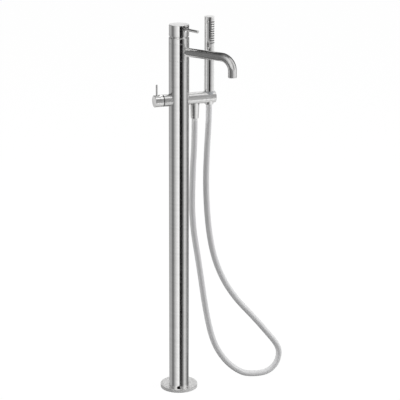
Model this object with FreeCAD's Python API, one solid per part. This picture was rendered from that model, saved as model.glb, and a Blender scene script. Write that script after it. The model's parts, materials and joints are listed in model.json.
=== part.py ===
import FreeCAD, Part
import math
import os

# Floor standing bath filler. Millimetres, +Z up. The origin is the centre of the base on the floor.
# +X runs along the handset holder, -Y is the front.

Vector = FreeCAD.Vector
up = Vector(0, 0, 1)
left = Vector(-1, 0, 0)
right = Vector(1, 0, 0)
down = Vector(0, 0, -1)

# Clearances
fit_gap = 0.05            # radial, pieces fixed in each other
running_gap = 0.08        # radial, pieces that turn or slide in each other
loose_gap = 0.3           # between pieces that move past each other
overshoot = 5.0           # how far a cutting shape passes the surface it cuts

# Column
column_diameter = 50.0
column_wall = 2.0
cross_height = 759.0      # axis of the diverter and of the holder bar above the floor
spout_above_cross = 120.0 # spout axis above that axis

# Base
cover_reach = 22.5        # from the column's face to the plate's edge
cover_height = 8.0
cover_top_thickness = 2.7
cover_rim_wall = 2.2
cover_edge_chamfer = 0.5
flange_thickness = 5.0
spigot_height = 55.0
spigot_wall = 2.0
bolt_edge_distance = 11.0       # from the flange's edge to the middle of a bolt hole
bolt_hole_diameter = 6.5
bolt_count = 4
floor_seal_width = 3.0
floor_seal_height = 1.4
floor_seal_inset = 3.5         # from the flange's edge to the mid line of the seal
key_slot_width = 8.2
key_slot_edge_distance = 4.5
key_slot_angle = -112.0        # degrees from +X
lock_screw_diameter = 4.0
lock_screw_length = 6.0
lock_screw_height = 8.5

# Water pipes inside the column
riser_diameter = 8.0
riser_bore = 5.6
riser_union_margin = 0.35      # between an inlet union and the spigot round it
union_diameter = 12.0
union_height = 30.0
union_thread_bore = 9.0
union_thread_depth = 14.0
link_pipe_diameter = 8.0
link_pipe_bore = 6.0
link_pipe_offset = 8.0         # from the column axis, towards +X and -X
pipe_seat_depth = 9.0

# Mixer body and swivel
sleeve_height = 42.0
sleeve_wall = 4.0              # from the column's face to the neck that the sleeve turns on
collar_height = 12.7           # from the sleeve's upper slide ring to the body's top
slide_ring_thickness = 0.3
slide_ring_inset = 0.15        # how far the ring's edge lies behind the column's face
skirt_height = 24.0
ring_channel_width = 12.0
ring_channel_depth = 3.0
ring_channel_port = 5.0
seal_section = 2.6
seal_squeeze = 0.25
seal_spacing = 27.0            # between the two O-rings on the neck
limit_screw_diameter = 4.0
limit_screw_length = 7.0
limit_groove_depth = 2.6
limit_screw_edge_distance = 4.5    # above the sleeve's lower edge
spout_swing_back = 78.0        # degrees from the rest position, clockwise seen from above
spout_swing_on = 12.0          # degrees, anticlockwise

# Mixing cartridge
cap_height = 28.0
cap_gap = 4.0
cartridge_seat_wall = 3.5      # of the neck round the cartridge
cartridge_housing_height = 14.0
cartridge_roof = 3.5
cartridge_wall = 2.4
cartridge_neck_wall = 2.0      # round the yoke, with its running gap
cartridge_neck_height = 7.5
cartridge_nut_rim = 2.0        # how far the nut reaches past the cartridge
cartridge_nut_height = 8.0
cartridge_nut_inset = 1.0
cover_ring_play = 1.4          # room for the cap's skirt to tilt round the steel cover ring
cover_ring_height = 5.2
cover_ring_wall = 1.0
cover_ring_yoke_play = 3.5     # round the yoke
cartridge_port_diameter = 5.0
cartridge_port_inset = 4.1     # from the housing's bore to the middle of a port
base_seal_thickness = 1.2
disc_thickness = 3.0
yoke_diameter = 20.0
yoke_foot_height = 1.8
yoke_slot_width = 8.4
yoke_slot_length = 15.0
yoke_slot_floor = 2.5
yoke_top_above_pivot = 3.5
yoke_pin_diameter = 3.0
lever_pin_width = 8.0
lever_pin_below_pivot = 9.0
lever_pin_in_cap = 9.5
pivot_above_body = 2.0         # height of the tilt axis above the mixer body's top

# Handle cap and lever
cap_skirt_wall = 3.0
cap_skirt_depth = 9.0
cap_chamfer = 0.6
cap_lever_below_top = 9.0
cap_lever_angle = -72.0
cap_lever_diameter = 7.0
cap_lever_reach = 72.0
cap_lever_root = 8.0
recess_radius = 9.5
recess_depth = 8.0
recess_lift = 1.5              # the recess lies this much nearer the end face than the lever
cap_screw_diameter = 5.0
cap_screw_length = 12.0

# Spout
spout_angle = -57.0            # degrees from +X, as in the photograph
spout_diameter = 21.0
spout_bore = 18.0
spout_reach = 157.0
spout_bend = 31.0
spout_end_straight = 15.0      # below the bend
spout_root_depth = 2.5         # how far the tube is let into the sleeve
spout_lip = 0.5
aerator_height = 12.0
aerator_inset = 1.5
aerator_wall = 1.3
aerator_seal_thickness = 1.6
aerator_cell = 2.6
aerator_cell_wall = 0.5

# Diverter on the left
cross_body_diameter = 20.0
cross_body_reach = 11.0        # right of the column's face, into the bar
stub_diameter = 30.0
stub_length = 17.0             # from the column's face
gap_ring_width = 2.5
gap_ring_inset = 1.0           # behind the knob's and the stub's face
knob_length = 20.5
knob_wall = 4.0
knob_skirt_depth = 2.5
cross_body_wall = 2.0          # round the diverter cartridge
diverter_cartridge_length = 22.0
diverter_spindle_diameter = 7.0
diverter_spindle_in_knob = 10.0
knob_lever_diameter = 5.0
knob_lever_from_end = 7.0
knob_lever_reach = 41.0        # from the knob's axis
knob_lever_root = 5.0
knob_screw_diameter = 4.0
knob_screw_length = 8.0

# Holder bar on the right
bar_diameter = 30.0
bar_beyond_handset = 15.0      # from the handset axis to the bar's end
bar_end_chamfer = 0.6
bar_bore = 12.0
outlet_from_column = 16.5      # from the column's face to the outlet's axis
handset_from_outlet = 38.0     # between the two axes
holder_play = 0.3              # round the handset's nut
bush_wall = 0.9
bush_height = 11.0
bush_proud = 0.2               # above the bar's crest
nipple_diameter = 20.4
nipple_bore = 12.0
nipple_length = 13.0
nipple_wall_above = 1.0
check_valve_length = 9.0

# Hose and its nuts
hose_diameter = 15.0
outlet_nut_wall = 1.45         # round the nipple's thread
outlet_nut_taper = 1.65        # radial
outlet_nut_length = 37.0
handset_nut_step = 0.7         # how far the handset reaches past its nut, to stand on the holder
handset_nut_taper = 0.8        # radial
handset_nut_length = 34.5
nut_chamfer = 2.0
hose_tail_bore = 7.0
hose_tail_diameter = 11.0
hose_tail_flange = 2.0
washer_thickness = 2.0

# Handset
handset_diameter = 25.0
handset_wall = 2.0
handset_length = 185.8
handset_cap_height = 6.0
handset_cap_lip = 2.0
handset_chamfer = 0.8
connector_thread_length = 9.0
connector_bore = 9.0
connector_plug = 12.0
waterway_wall = 1.2
spray_angle = -73.0
spray_rows = 10
spray_pitch = 5.73
spray_top_margin = 13.0        # from the handset's top to the upper row
spray_slot_width = 14.4
spray_slot_height = 2.2
nozzles_per_row = 5
nozzle_spacing = 2.9
nozzle_diameter = 1.7
nozzle_hole = 0.7
nozzle_proud = 0.5
spray_backing = 1.0

# Hose route, chosen by hand from the photograph: the corners between its straight ends
hose_outlet_straight = 57.0
hose_handset_straight = 39.5
hose_corners = [
    (38.5, 6.0, 560.0),
    (37.0, 6.0, 440.0),
    (57.0, 3.0, 318.0),
    (73.0, 0.0, 200.0),
    (92.0, -4.0, 110.0),
    (126.0, -9.0, 52.0),
    (170.0, -13.0, 15.0),
    (205.0, -15.0, 7.6),
    (241.8, -16.0, 7.6),
    (266.7, -16.0, 23.7),
    (278.3, -14.0, 49.9),
    (275.0, -12.0, 76.5),
    (245.8, -9.0, 114.6),
    (204.0, -6.0, 166.0),
    (155.0, -4.0, 221.0),
    (118.0, -3.0, 280.0),
    (92.0, -2.0, 348.0),
    (78.0, -1.0, 430.0),
    (72.0, 0.0, 530.0),
    (74.5, 0.0, 625.0),
]
hose_arc_share = 0.45          # of the shorter run beside a corner

# Worked out from the sizes above
column_radius = column_diameter / 2
column_bore_radius = column_radius - column_wall
cover_radius = column_radius + cover_reach
flange_radius = cover_radius - cover_rim_wall - loose_gap
bolt_circle_radius = flange_radius - bolt_edge_distance
floor_seal_radius = flange_radius - floor_seal_inset
key_slot_outer_radius = cover_radius - key_slot_edge_distance
spigot_radius = column_bore_radius - fit_gap
riser_offset = spigot_radius - spigot_wall - union_diameter / 2 - riser_union_margin
spout_height = cross_height + spout_above_cross
sleeve_bottom = spout_height - sleeve_height / 2
sleeve_top = spout_height + sleeve_height / 2
column_top = sleeve_bottom - slide_ring_thickness
body_shoulder = sleeve_top + slide_ring_thickness
body_top = body_shoulder + collar_height
cap_bottom = body_top + cap_gap
cap_top = cap_bottom + cap_height
cap_lever_height = cap_top - cap_lever_below_top
pivot_height = body_top + pivot_above_body
neck_radius = column_radius - sleeve_wall
sleeve_bore_radius = neck_radius + running_gap
limit_screw_height = sleeve_bottom + limit_screw_edge_distance
skirt_bottom = column_top - skirt_height
cartridge_radius = neck_radius - cartridge_seat_wall
cartridge_neck_radius = yoke_diameter / 2 + cartridge_neck_wall
cartridge_nut_radius = cartridge_radius + cartridge_nut_rim
cover_ring_radius = column_radius - cap_skirt_wall - cover_ring_play
cover_hole_radius = yoke_diameter / 2 + cover_ring_yoke_play
nut_top = body_top - cartridge_nut_inset
nut_bottom = nut_top - cartridge_nut_height
housing_bottom = nut_bottom - cartridge_housing_height
pocket_floor = housing_bottom - base_seal_thickness
housing_bore_radius = cartridge_radius - cartridge_wall
cartridge_port_radius = housing_bore_radius - cartridge_port_inset
disc_radius = housing_bore_radius - running_gap
disc_floor = housing_bottom + base_seal_thickness
yoke_foot = disc_floor + 2 * disc_thickness
spout_outlet_height = spout_height - spout_bend - spout_end_straight
cross_radius = cross_body_diameter / 2
cross_body_right = column_radius + cross_body_reach
diverter_cartridge_radius = cross_radius - cross_body_wall
stub_radius = stub_diameter / 2
stub_end = column_radius + stub_length
knob_face = stub_end + gap_ring_width
knob_end = knob_face + knob_length
bar_radius = bar_diameter / 2
bar_top = cross_height + bar_radius
bar_bottom = cross_height - bar_radius
outlet_offset = column_radius + outlet_from_column
handset_offset = outlet_offset + handset_from_outlet
bar_end = handset_offset + bar_beyond_handset
handset_seat = bar_top + bush_proud
handset_top = handset_seat + handset_length
spray_top_row = handset_top - spray_top_margin
handset_radius = handset_diameter / 2
handset_bore_radius = handset_radius - handset_wall
outlet_nut_radius = nipple_diameter / 2 + outlet_nut_wall
outlet_nut_end = bar_bottom - outlet_nut_length
outlet_tail_seat = bar_bottom - nipple_length - washer_thickness - hose_tail_flange
handset_nut_radius = handset_radius - handset_nut_step
handset_nut_end = bar_top - handset_nut_length
handset_tail_seat = handset_seat - connector_thread_length - washer_thickness - hose_tail_flange
holder_hole_radius = handset_nut_radius + holder_play
bush_radius = holder_hole_radius + bush_wall


def heading(angle):
    """Unit vector in plan, an angle in degrees anticlockwise from +X."""
    return Vector(math.cos(math.radians(angle)), math.sin(math.radians(angle)), 0)


def rod(radius, start, axis, length):
    return Part.makeCylinder(radius, length, start, axis)


def ring(outer_radius, inner_radius, start, axis, length):
    return rod(outer_radius, start, axis, length).cut(rod(inner_radius, start, axis, length))


def turned(outline, start=Vector(0, 0, 0), axis=up):
    """A turned piece: corners as (radius, distance along the axis)."""
    corners = [Vector(radius, 0, along) for radius, along in outline]
    face = Part.Face(Part.makePolygon(corners + corners[:1]))
    piece = face.revolve(Vector(0, 0, 0), up, 360)
    place = FreeCAD.Placement(start, FreeCAD.Rotation(up, axis))
    return piece.transformed(place.toMatrix(), copy=True)


def swung(piece, angle):
    """Turns a piece about the column axis."""
    place = FreeCAD.Placement(Vector(0, 0, 0), FreeCAD.Rotation(up, angle))
    return piece.transformed(place.toMatrix(), copy=True)


def set_screw(diameter, start, axis, length):
    """A socket set screw: the key socket is at the far end."""
    socket_width = diameter * 0.5
    socket_depth = diameter * 0.6
    chamfer = diameter * 0.1
    radius = diameter / 2
    outline = [(0, 0), (radius - chamfer, 0), (radius, chamfer),
               (radius, length - chamfer), (radius - chamfer, length), (0, length)]
    corners = []
    for side in range(7):
        turn = math.radians(60 * side)
        reach = socket_width / 2 / math.cos(math.radians(30))
        corners.append(Vector(reach * math.cos(turn), reach * math.sin(turn), length - socket_depth))
    socket = Part.Face(Part.makePolygon(corners)).extrude(Vector(0, 0, socket_depth + overshoot))
    screw = turned(outline).cut(socket)
    place = FreeCAD.Placement(start, FreeCAD.Rotation(up, axis))
    return screw.transformed(place.toMatrix(), copy=True)


def rounded_slot(width, height, depth):
    """A flat slot with round ends, along +Y, from the origin plane towards +X."""
    straight = width - height
    slot = Part.makeBox(depth, straight, height, Vector(0, -straight / 2, -height / 2))
    for side in (-1, 1):
        slot = slot.fuse(rod(height / 2, Vector(0, side * straight / 2, 0), right, depth))
    return slot


# Base

def floor_flange():
    flange = rod(flange_radius, Vector(0, 0, 0), up, flange_thickness)
    for index in range(bolt_count):
        place = heading(45 + 360 / bolt_count * index) * bolt_circle_radius
        flange = flange.cut(rod(bolt_hole_diameter / 2, place + down * overshoot, up,
                                flange_thickness + 2 * overshoot))
    for side in (-1, 1):
        place = Vector(0, side * riser_offset, -overshoot)
        flange = flange.cut(rod(union_diameter / 2 + fit_gap, place, up,
                                flange_thickness + 2 * overshoot))
    groove = ring(floor_seal_radius + floor_seal_width / 2 + fit_gap,
                  floor_seal_radius - floor_seal_width / 2 - fit_gap,
                  Vector(0, 0, 0), up, floor_seal_height)
    return flange.cut(groove)


def column_spigot():
    """The ring on the flange that the column is pushed over."""
    spigot = ring(spigot_radius, spigot_radius - spigot_wall, up * flange_thickness, up, spigot_height)
    return spigot.cut(lock_screw_hole())


def lock_screw_hole():
    start = heading(key_slot_angle) * (spigot_radius - spigot_wall - overshoot)
    return rod(lock_screw_diameter / 2 + fit_gap, start + up * lock_screw_height,
               heading(key_slot_angle), column_wall + spigot_wall + 2 * overshoot)


def floor_seal():
    return ring(floor_seal_radius + floor_seal_width / 2,
                floor_seal_radius - floor_seal_width / 2,
                Vector(0, 0, 0), up, floor_seal_height)


def key_slot(gap, depth):
    """The slot of the cover plate, from the column's face outwards, sunk from the plate's top."""
    inner = column_radius + fit_gap
    width = key_slot_width + 2 * gap
    length = key_slot_outer_radius - inner + gap
    slot = Part.makeBox(length, width, depth, Vector(inner, -width / 2, cover_height - depth))
    return swung(slot, key_slot_angle)


def base_cover():
    radius = cover_radius
    inner = column_radius + fit_gap
    under = cover_height - cover_top_thickness
    outline = [(inner, under), (radius - cover_rim_wall, under), (radius - cover_rim_wall, 0),
               (radius, 0), (radius, cover_height - cover_edge_chamfer),
               (radius - cover_edge_chamfer, cover_height), (inner, cover_height)]
    opening = key_slot(0, cover_top_thickness + overshoot)
    bore_side = swung(Part.makeBox(overshoot, key_slot_width, cover_top_thickness + overshoot,
                                   Vector(inner - overshoot + fit_gap, -key_slot_width / 2,
                                          under - overshoot)), key_slot_angle)
    return turned(outline).cut(opening).cut(bore_side)


def lock_screw_plug():
    plug = key_slot(-fit_gap, cover_top_thickness)
    return plug.cut(rod(column_radius + fit_gap, Vector(0, 0, 0), up, cover_height + overshoot))


def column_lock_screw():
    start = heading(key_slot_angle) * (column_radius - lock_screw_length)
    return set_screw(lock_screw_diameter, start + up * lock_screw_height,
                     heading(key_slot_angle), lock_screw_length)


def column_tube():
    tube = ring(column_radius, column_bore_radius, up * flange_thickness, up,
                column_top - flange_thickness)
    through = rod(cross_radius + fit_gap, Vector(-column_diameter, 0, cross_height), right,
                  2 * column_diameter)
    return tube.cut(through).cut(lock_screw_hole())


# Water pipes

def inlet_union(side):
    place = Vector(0, side * riser_offset, 0)
    union = rod(union_diameter / 2, place, up, union_height)
    union = union.cut(rod(union_thread_bore / 2, place, up, union_thread_depth))
    union = union.cut(rod(riser_bore / 2, place, up, union_height))
    return union.cut(rod(riser_diameter / 2 + fit_gap, place + up * (union_height - pipe_seat_depth),
                         up, pipe_seat_depth))


def riser(side):
    start = Vector(0, side * riser_offset, union_height - pipe_seat_depth)
    length = skirt_bottom + pipe_seat_depth - start.z
    return ring(riser_diameter / 2, riser_bore / 2, start, up, length)


def link_pipe(side):
    start = Vector(side * link_pipe_offset, 0, cross_height + cross_flat())
    length = skirt_bottom + pipe_seat_depth - start.z
    return ring(link_pipe_diameter / 2, link_pipe_bore / 2, start, up, length)


def cross_flat():
    """Height above the cross axis of the seats where the link pipes stand on the cross body."""
    return cross_radius - 3.0


# Cross body, diverter and knob

def cross_body():
    body = rod(cross_radius, Vector(-stub_end, 0, cross_height), right, stub_end + cross_body_right)
    pocket = rod(diverter_cartridge_radius + fit_gap, Vector(-stub_end, 0, cross_height), right,
                 diverter_cartridge_length)
    way = rod(bar_bore / 2, Vector(0, 0, cross_height), right, cross_body_right)
    body = body.cut(pocket).cut(way)
    passage = rod(link_pipe_bore / 2, Vector(diverter_cartridge_length - stub_end, 0, cross_height),
                  right, stub_end)
    body = body.cut(passage)
    for side in (-1, 1):
        start = Vector(side * link_pipe_offset, 0, cross_height)
        body = body.cut(rod(link_pipe_bore / 2, start, up, cross_body_diameter))
        body = body.cut(rod(link_pipe_diameter / 2 + fit_gap, start + up * cross_flat(), up,
                            cross_body_diameter))
        riser_place = Vector(0, side * riser_offset, cross_height - cross_body_diameter)
        body = body.cut(rod(riser_diameter / 2 + loose_gap, riser_place, up, 2 * cross_body_diameter))
    return body


def valve_stub():
    stub = ring(stub_radius, cross_radius + fit_gap, Vector(-stub_end, 0, cross_height), right,
                stub_end)
    return stub.cut(rod(column_radius + fit_gap, up * (cross_height - stub_diameter), up,
                        2 * stub_diameter))


def gap_ring():
    return ring(stub_radius - gap_ring_inset, diverter_spindle_diameter / 2 + loose_gap,
                Vector(-stub_end, 0, cross_height), left, gap_ring_width - running_gap)


def diverter_cartridge():
    return ring(diverter_cartridge_radius, diverter_spindle_diameter / 2 + running_gap,
                Vector(-stub_end, 0, cross_height), right, diverter_cartridge_length - fit_gap)


def diverter_spindle():
    length = diverter_cartridge_length + gap_ring_width + diverter_spindle_in_knob - 2 * fit_gap
    start = Vector(-stub_end + diverter_cartridge_length - fit_gap, 0, cross_height)
    return rod(diverter_spindle_diameter / 2, start, left, length)


def recess(radius, depth):
    """A conical recess round a lever, from the cylinder's face inwards, along +Z from its bottom."""
    slope = radius / depth
    rise = depth + overshoot
    return Part.makeCone(0.01, rise * slope, rise, Vector(0, 0, 0), up)


def knob_lever_place():
    return Vector(-knob_end + knob_lever_from_end, 0, cross_height)


def diverter_knob():
    radius = stub_radius
    skirt = radius - knob_wall
    pocket = knob_end - knob_face - knob_skirt_depth
    outline = [(0, 0), (radius - cap_chamfer, 0), (radius, cap_chamfer),
               (radius, knob_end - knob_face), (skirt, knob_end - knob_face),
               (skirt, pocket), (0, pocket)]
    knob = turned(outline, Vector(-knob_end, 0, cross_height), right)
    spindle_end = diverter_spindle_in_knob + fit_gap
    knob = knob.cut(rod(diverter_spindle_diameter / 2 + fit_gap,
                        Vector(-knob_face, 0, cross_height), left, spindle_end))
    cone = recess(recess_radius, recess_depth)
    cone.translate(knob_lever_place() + Vector(-recess_lift, 0, radius - recess_depth))
    knob = knob.cut(cone)
    bore_start = knob_lever_place() + up * knob_lever_root
    knob = knob.cut(rod(knob_lever_diameter / 2 + fit_gap, bore_start, up, radius))
    screw_bore_start = Vector(knob_screw_start().x, 0, cross_height)
    return knob.cut(rod(knob_screw_diameter / 2 + fit_gap, screw_bore_start, down, 2 * radius))


def knob_screw_start():
    middle = -knob_face - (knob_skirt_depth + diverter_spindle_in_knob) / 2
    return Vector(middle, 0, cross_height - diverter_spindle_diameter / 2 - fit_gap)


def knob_set_screw():
    return set_screw(knob_screw_diameter, knob_screw_start(), down, knob_screw_length)


def diverter_lever():
    radius = knob_lever_diameter / 2
    length = knob_lever_reach - knob_lever_root
    outline = [(0, 0), (radius, 0), (radius, length - cap_chamfer),
               (radius - cap_chamfer, length), (0, length)]
    return turned(outline, knob_lever_place() + up * knob_lever_root)


# Holder bar

def holder_bar():
    start = Vector(0, 0, cross_height)
    outline = [(0, 0), (bar_radius, 0), (bar_radius, bar_end - bar_end_chamfer),
               (bar_radius - bar_end_chamfer, bar_end), (0, bar_end)]
    bar = turned(outline, start, right)
    bar = bar.cut(rod(cross_radius + fit_gap, start, right, cross_body_right + fit_gap))
    bar = bar.cut(rod(bar_bore / 2, start, right, outlet_offset))
    bar = bar.cut(rod(column_radius + fit_gap, up * (cross_height - bar_diameter), up,
                      2 * bar_diameter))
    outlet = Vector(outlet_offset, 0, cross_height)
    bar = bar.cut(rod(bar_bore / 2, outlet, down, bar_diameter))
    bar = bar.cut(rod(nipple_diameter / 2 + fit_gap, outlet + down * (bar_radius - nipple_seat()),
                      down, bar_radius))
    holder = Vector(handset_offset, 0, cross_height)
    bar = bar.cut(rod(holder_hole_radius, holder + down * bar_diameter, up, 2 * bar_diameter))
    bush_seat = holder + up * (bar_radius + bush_proud - bush_height)
    return bar.cut(rod(bush_radius + fit_gap, bush_seat, up, bar_diameter))


def nipple_seat():
    """How far the outlet nipple is let into the bar from below, short of the cross body."""
    return bar_radius - cross_radius - nipple_wall_above


def holder_bush():
    start = Vector(handset_offset, 0, handset_seat - bush_height)
    return ring(bush_radius, holder_hole_radius, start, up, bush_height)


def outlet_nipple():
    top = bar_bottom + nipple_seat()
    start = Vector(outlet_offset, 0, top)
    length = nipple_seat() + nipple_length
    nipple = ring(nipple_diameter / 2, nipple_bore / 2, start, down, length)
    return nipple.cut(rod(nipple_bore / 2 + 1.0, Vector(outlet_offset, 0, bar_bottom - nipple_length),
                          up, check_valve_length))


def check_valve():
    start = Vector(outlet_offset, 0, bar_bottom - nipple_length + fit_gap)
    return ring(nipple_bore / 2 + 1.0 - fit_gap, nipple_bore / 4, start, up,
                check_valve_length - 2 * fit_gap)


# Hose nuts, tails and washers

def cone_nut(place_x, top, end, radius, taper, tail_seat):
    """A cone nut: threaded from the top down to the tail's flange, with a hole for the tail."""
    length = top - end
    end_radius = radius - taper
    slope = taper / length
    chamfer_radius = end_radius + nut_chamfer * slope
    outline = [(0, 0), (end_radius - nut_chamfer, 0), (chamfer_radius, nut_chamfer), (radius, length),
               (0, length)]
    nut = turned(outline, Vector(place_x, 0, end))
    nut = nut.cut(rod(nipple_diameter / 2 + fit_gap, Vector(place_x, 0, tail_seat), up,
                      top - tail_seat + overshoot))
    return nut.cut(rod(hose_tail_diameter / 2 + fit_gap, Vector(place_x, 0, end - overshoot), up,
                       length))


def hose_tail(place_x, end, seat):
    """The tail inside a nut, with a flange that the nut draws against the washer."""
    radius = hose_tail_diameter / 2
    flange = nipple_diameter / 2 - loose_gap
    outline = [(hose_tail_bore / 2, 0), (radius, 0), (radius, seat - end),
               (flange, seat - end), (flange, seat - end + hose_tail_flange),
               (hose_tail_bore / 2, seat - end + hose_tail_flange)]
    return turned(outline, Vector(place_x, 0, end))


def hose_washer(place_x, height):
    return ring(nipple_diameter / 2 - loose_gap, nipple_bore / 2, Vector(place_x, 0, height), up,
                washer_thickness)


def outlet_hose_nut():
    return cone_nut(outlet_offset, bar_bottom, outlet_nut_end, outlet_nut_radius,
                    outlet_nut_taper, outlet_tail_seat)


def handset_hose_nut():
    return cone_nut(handset_offset, bar_top, handset_nut_end, handset_nut_radius,
                    handset_nut_taper, handset_tail_seat)


# Hose

def hose_path(route):
    """Straight runs joined by tangent arcs, with each arc's radius."""
    points = [Vector(*place) for place in route]
    edges = []
    radii = []
    tail = points[0]
    for before, corner, after in zip(points, points[1:], points[2:]):
        arriving = (corner - before)
        leaving = (after - corner)
        shorter = min(arriving.Length, leaving.Length)
        half_turn = arriving.getAngle(leaving) / 2
        setback = hose_arc_share * shorter
        radii.append(setback / math.tan(half_turn))
        arriving.normalize()
        leaving.normalize()
        arc_start = corner - arriving * setback
        arc_end = corner + leaving * setback
        inward = leaving - arriving
        inward.normalize()
        centre_distance = radii[-1] / math.cos(half_turn)
        arc_middle = corner + inward * (centre_distance - radii[-1])
        edges.append(Part.LineSegment(tail, arc_start).toShape())
        edges.append(Part.Arc(arc_start, arc_middle, arc_end).toShape())
        tail = arc_end
    edges.append(Part.LineSegment(tail, points[-1]).toShape())
    return Part.Wire(edges), radii


def shower_hose():
    outlet_end = (outlet_offset, 0, outlet_nut_end)
    outlet_run = (outlet_offset, 0, outlet_nut_end - hose_outlet_straight)
    handset_run = (handset_offset, 0, handset_nut_end - hose_handset_straight)
    handset_end = (handset_offset, 0, handset_nut_end)
    path, radii = hose_path([outlet_end, outlet_run] + hose_corners + [handset_run, handset_end])
    section = Part.Wire([Part.Circle(Vector(*outlet_end), down, hose_diameter / 2).toShape()])
    hose = path.makePipeShell([section], True, False)
    expected = math.pi * (hose_diameter / 2) ** 2 * path.Length
    print("hose length", round(path.Length, 1), "volume / expected", round(hose.Volume / expected, 5))
    print("hose radii", [round(radius) for radius in radii])
    return hose


# Mixer body, swivel and spout

def swivel_neck():
    """The neck that the spout's sleeve turns on, with its skirt in the column and its water ways."""
    skirt_radius = column_bore_radius - fit_gap
    outline = [(0, skirt_bottom), (skirt_radius, skirt_bottom), (skirt_radius, column_top),
               (neck_radius, column_top), (neck_radius, body_shoulder), (0, body_shoulder)]
    neck = turned(outline)
    neck = neck.cut(rod(cartridge_radius + fit_gap, up * pocket_floor, up,
                        body_top - pocket_floor))
    neck = neck.cut(ring(neck_radius + overshoot, neck_radius - ring_channel_depth,
                         up * (spout_height - ring_channel_width / 2), up, ring_channel_width))
    for seal_height in seal_heights():
        neck = neck.cut(ring(neck_radius + overshoot, neck_radius - seal_section + seal_squeeze - fit_gap,
                             up * (seal_height - seal_section / 2 - fit_gap), up,
                             seal_section + 2 * fit_gap))
    for side in (-1, 1):
        riser_place = Vector(0, side * riser_offset, skirt_bottom)
        neck = neck.cut(rod(riser_diameter / 2 + fit_gap, riser_place, up, pipe_seat_depth))
        port = Vector(0, side * cartridge_port_radius, skirt_bottom)
        neck = neck.cut(rod(cartridge_port_diameter / 2, port + up * pipe_seat_depth, up,
                            pocket_floor - skirt_bottom - pipe_seat_depth))
        link_place = Vector(side * link_pipe_offset, 0, skirt_bottom)
        neck = neck.cut(rod(link_pipe_diameter / 2 + fit_gap, link_place, up, pipe_seat_depth))
    mixed_way = Vector(-link_pipe_offset, 0, skirt_bottom)
    neck = neck.cut(rod(cartridge_port_diameter / 2, mixed_way, up, pocket_floor - skirt_bottom))
    spout_way = Vector(link_pipe_offset, 0, skirt_bottom)
    neck = neck.cut(rod(cartridge_port_diameter / 2, spout_way, up, spout_height - skirt_bottom))
    neck = neck.cut(rod(ring_channel_port / 2, Vector(link_pipe_offset, 0, spout_height), right,
                        neck_radius))
    return neck.cut(limit_groove())


def mixer_body():
    """The collar on the neck, round the cartridge and its nut."""
    bore = cartridge_radius + fit_gap
    nut_bore = cartridge_nut_radius + fit_gap
    outline = [(bore, body_shoulder), (column_radius, body_shoulder),
               (column_radius, body_top - cap_chamfer), (column_radius - cap_chamfer, body_top),
               (nut_bore, body_top), (nut_bore, nut_bottom), (bore, nut_bottom)]
    return turned(outline)


def cartridge_cover():
    """The steel ring on the body that closes the gap under the cap and hides the cartridge nut."""
    outer = cover_ring_radius
    inner = outer - cover_ring_wall
    hole = cover_hole_radius
    top = body_top + cover_ring_height
    outline = [(inner, body_top), (outer, body_top), (outer, top - cap_chamfer),
               (outer - cap_chamfer, top), (hole, top), (hole, top - cover_ring_wall),
               (inner, top - cover_ring_wall)]
    return turned(outline)


def seal_heights():
    return (spout_height - seal_spacing / 2 + seal_section, spout_height + seal_spacing / 2)


def spout_seals():
    return [ring(neck_radius - seal_squeeze, neck_radius - seal_section + seal_squeeze,
                 up * (height - seal_section / 2), up, seal_section) for height in seal_heights()]


def limit_groove():
    """The groove that the limit screw runs in: it is as long as the spout's swing."""
    tip_angle = math.degrees(math.asin((limit_screw_diameter / 2 + loose_gap) / neck_radius))
    first = spout_angle + 180 - spout_swing_back - tip_angle
    sweep = spout_swing_back + spout_swing_on + 2 * tip_angle
    height = limit_screw_diameter + 2 * loose_gap
    bottom = limit_screw_height - height / 2
    outer = Part.makeCylinder(neck_radius + overshoot, height, up * bottom, up, sweep)
    inner = Part.makeCylinder(neck_radius - limit_groove_depth, height, up * bottom, up, sweep)
    return swung(outer.cut(inner), first)


def limit_screw_place():
    reach = neck_radius - limit_groove_depth + loose_gap
    return heading(spout_angle + 180) * reach + up * limit_screw_height


def spout_limit_screw():
    length = column_radius - (neck_radius - limit_groove_depth + loose_gap) - fit_gap
    return set_screw(limit_screw_diameter, limit_screw_place(), heading(spout_angle + 180),
                     min(limit_screw_length, length))


def slide_ring(height):
    return ring(column_radius - slide_ring_inset, neck_radius + running_gap, up * height, up,
                slide_ring_thickness)


def spout_sleeve():
    sleeve = ring(column_radius, sleeve_bore_radius, up * sleeve_bottom, up, sleeve_height)
    seat = column_radius - spout_root_depth
    sleeve = sleeve.cut(rod(spout_diameter / 2 + fit_gap, heading(spout_angle) * seat
                            + up * spout_height, heading(spout_angle), column_radius))
    sleeve = sleeve.cut(rod(spout_bore / 2, up * spout_height, heading(spout_angle), column_radius))
    return sleeve.cut(rod(limit_screw_diameter / 2 + fit_gap, limit_screw_place(),
                          heading(spout_angle + 180), column_radius))


def spout_wire(start, outlet):
    """The spout's centre line in the XZ plane: out, through the bend and down."""
    bend_start = Vector(spout_reach - spout_bend, 0, spout_height)
    bend_end = Vector(spout_reach, 0, spout_height - spout_bend)
    middle_turn = math.radians(45)
    bend_middle = Vector(spout_reach - spout_bend + spout_bend * math.sin(middle_turn), 0,
                         spout_height - spout_bend + spout_bend * math.cos(middle_turn))
    return Part.Wire([
        Part.LineSegment(Vector(start, 0, spout_height), bend_start).toShape(),
        Part.Arc(bend_start, bend_middle, bend_end).toShape(),
        Part.LineSegment(bend_end, Vector(spout_reach, 0, outlet)).toShape(),
    ])


def spout_core(radius, start, outlet):
    section = Part.Wire([Part.Circle(Vector(start, 0, spout_height), right, radius).toShape()])
    return spout_wire(start, outlet).makePipeShell([section], True, False)


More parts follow.
